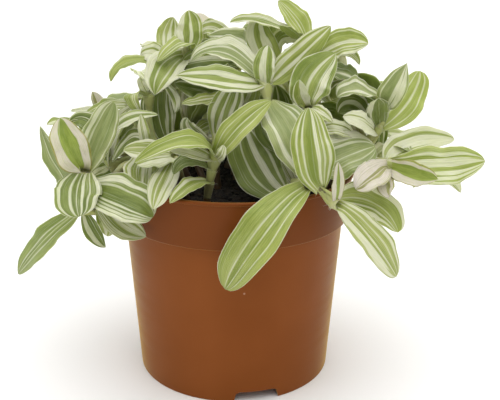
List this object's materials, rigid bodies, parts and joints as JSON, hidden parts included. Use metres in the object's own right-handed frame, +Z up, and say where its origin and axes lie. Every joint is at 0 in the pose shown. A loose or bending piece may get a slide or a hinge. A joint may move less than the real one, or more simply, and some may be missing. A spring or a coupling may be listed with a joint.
{
  "type": "potted tradescantia",
  "caption": "Potted house plant with trailing leafy stems of cream and green striped leaves, in a plain terracotta-coloured plastic pot.",
  "frame": {"origin": "centre of the pot on the surface it stands on, which is also the middle of the plant's spread", "axes": "+Z up along the pot's axis, +X to the right and -Y towards the viewer in the picture's front view"},
  "size_m": [0.2251, 0.1548, 0.1856],
  "materials": {
    "pot_plastic": "terracotta-coloured moulded plastic, half matt with soft highlights",
    "soil": "dark damp peat compost",
    "foliage": "soft satin leaves striped in cream and green, with pale edges"
  },
  "bodies": {
    "root": {"pot": "pot_plastic", "soil": "soil", "stem_left_front": "foliage", "stem_left_low": "foliage", "stem_left_back": "foliage", "stem_left_bud": "foliage", "stem_left_inner": "foliage", "stem_front_inner": "foliage", "stem_left_top": "foliage", "stem_back_top": "foliage", "stem_centre_top": "foliage", "stem_top": "foliage", "stem_right_top": "foliage", "stem_centre_right": "foliage", "stem_middle": "foliage", "stem_front_left": "foliage", "stem_front": "foliage", "stem_front_right": "foliage", "stem_right_upper": "foliage", "stem_right": "foliage", "stem_back_right_low": "foliage", "stem_back_right": "foliage", "stem_back_mid_right": "foliage", "stem_back_mid_left": "foliage", "stem_back_left": "foliage", "stem_back_left_low": "foliage", "stem_rim_right": "foliage", "stem_rim_back": "foliage", "stem_rim_left": "foliage", "stem_inner_left": "foliage", "stem_inner_mid": "foliage", "stem_inner_right": "foliage", "stem_side_right": "foliage", "stem_side_left": "foliage"}
  },
  "joints": []
}
